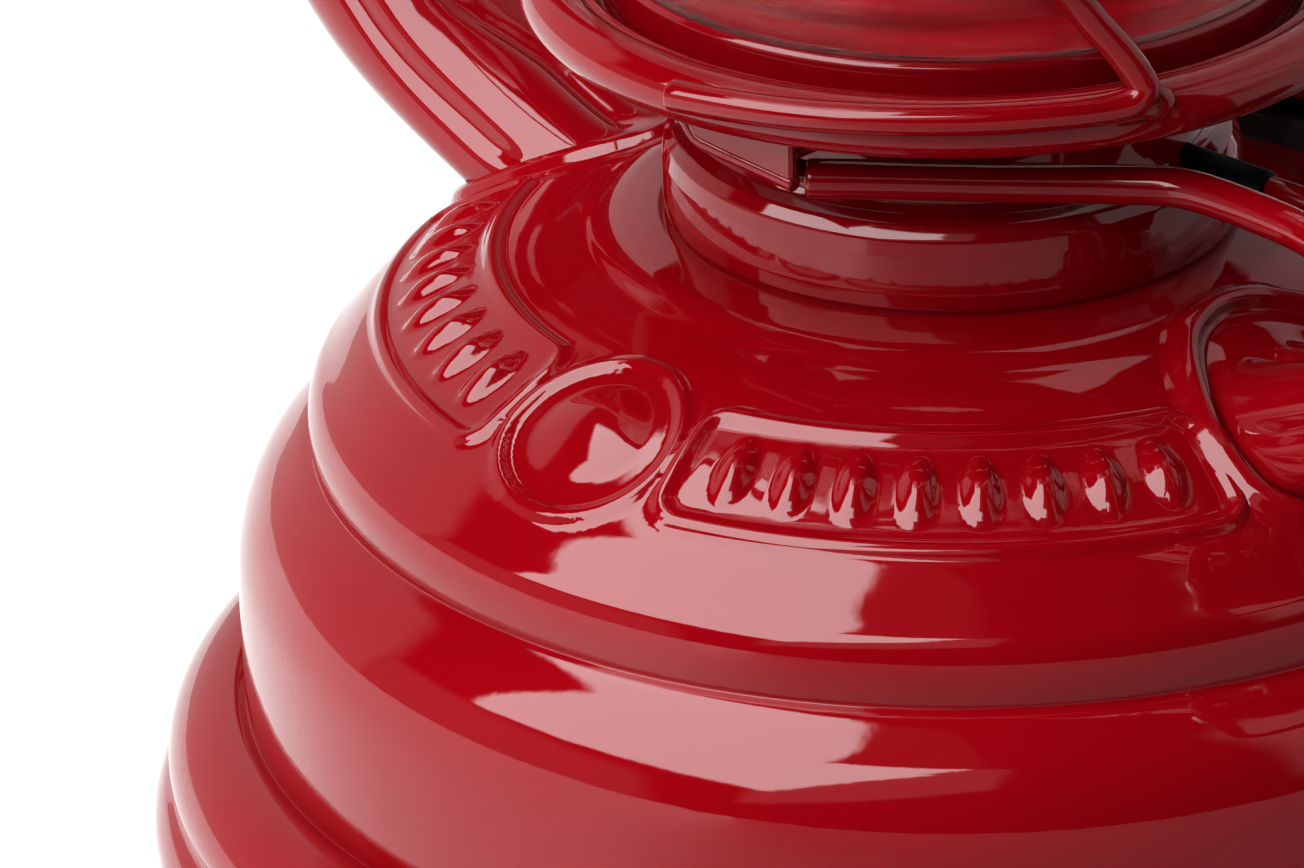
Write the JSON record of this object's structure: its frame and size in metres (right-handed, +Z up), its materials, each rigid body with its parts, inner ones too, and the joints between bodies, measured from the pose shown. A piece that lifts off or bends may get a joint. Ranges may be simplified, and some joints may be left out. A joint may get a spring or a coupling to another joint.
{
  "type": "hurricane lantern",
  "caption": "Kerosene hurricane lantern with stepped red fuel tank, side air tubes, lever-lifted glass globe, sprung hood, screw filler cap, wick feed and swinging bail.",
  "frame": {"origin": "centre of the foot ring at the surface the lantern stands on", "axes": "+Z up, +X through the right air tube with the lift lever, -Y the front"},
  "size_m": [0.1626, 0.117, 0.2676],
  "materials": {
    "red_enamel": "high gloss enamel",
    "zinc_steel": "bright zinc plate",
    "cap_steel": "high gloss enamel",
    "gasket_rubber": "matt",
    "burner_brass": "satin",
    "black_steel": "satin black",
    "wick_cotton": "woven",
    "globe_glass": "clear"
  },
  "bodies": {
    "frame": {"tank_shell": "red_enamel", "tank_bottom": "red_enamel", "filler_neck": "zinc_steel", "burner_collar": "red_enamel", "air_plate": "burner_brass", "wick_tube": "burner_brass", "flame_cone": "burner_brass", "side_tube_left": "red_enamel", "side_tube_right": "red_enamel", "top_chamber": "red_enamel", "chamber_floor": "red_enamel", "bail_ear_left": "zinc_steel", "bail_ear_right": "zinc_steel", "lever_bracket": "red_enamel", "lever_pin": "zinc_steel", "hood_spring": "zinc_steel"},
    "globe_carrier": {"globe_plate": "red_enamel", "globe": "globe_glass", "guard_wire_front": "red_enamel", "guard_wire_back": "red_enamel", "lift_strap": "red_enamel"},
    "hood": {"chimney": "red_enamel", "globe_crown": "red_enamel", "hood_cap": "red_enamel", "ring_lug": "red_enamel"},
    "pull_ring": {"pull_ring": "zinc_steel"},
    "lift_lever": {"lift_lever": "red_enamel"},
    "bail": {"bail": "zinc_steel"},
    "wick_spindle": {"wick_shaft": "black_steel", "wick_wheels": "burner_brass", "wick_knob": "black_steel"},
    "wick": {"wick": "wick_cotton"},
    "cap_seal": {"cap_gasket": "gasket_rubber"},
    "filler_cap": {"filler_cap": "cap_steel"}
  },
  "joints": [
    {"name": "globe_lift", "type": "slide", "parent": "frame", "child": "globe_carrier", "axis": [0, 0, 1], "range_m": [0, 0.0071], "deforming": ["hood_spring"]},
    {"name": "lever_swing", "type": "hinge", "parent": "frame", "child": "lift_lever", "pos_m": [0.058, -0.0146, 0.0625], "axis": [0, 1, 0], "range_deg": [0, 8]},
    {"name": "hood_lift", "type": "slide", "parent": "globe_carrier", "child": "hood", "axis": [0, 0, 1], "range_m": [0, 0.009], "stiffness_N_per_m": 150, "springref_m": -0.02, "deforming": ["hood_spring"]},
    {"name": "ring_swing", "type": "hinge", "parent": "hood", "child": "pull_ring", "pos_m": [0, 0, 0.2645], "axis": [1, 0, 0], "range_deg": [0, 234]},
    {"name": "bail_swing", "type": "hinge", "parent": "frame", "child": "bail", "pos_m": [0, 0, 0.176], "axis": [1, 0, 0], "range_deg": [0, 308]},
    {"name": "wick_turn", "type": "hinge", "parent": "frame", "child": "wick_spindle", "pos_m": [0, 0.0047, 0.059], "axis": [-1, 0, 0], "range_deg": [-60, 85]},
    {"name": "wick_feed", "type": "slide", "parent": "frame", "child": "wick", "axis": [0, 0, 1], "range_m": [-0.004, 0.0057]},
    {"name": "cap_lift", "type": "slide", "parent": "frame", "child": "cap_seal", "axis": [0, 0.4695, 0.8829], "range_m": [0, 0.0046]},
    {"name": "cap_turn", "type": "hinge", "parent": "cap_seal", "child": "filler_cap", "pos_m": [0, 0.036, 0.0469], "axis": [0, 0.4695, 0.8829], "range_deg": [0, 540]}
  ],
  "couplings": [
    {"joint": "lever_swing", "follows": "globe_lift", "rad_per_m": 19.6},
    {"joint": "wick_turn", "follows": "wick_feed", "rad_per_m": 256.4},
    {"joint": "cap_lift", "follows": "cap_turn", "m_per_rad": 0.000477}
  ]
}
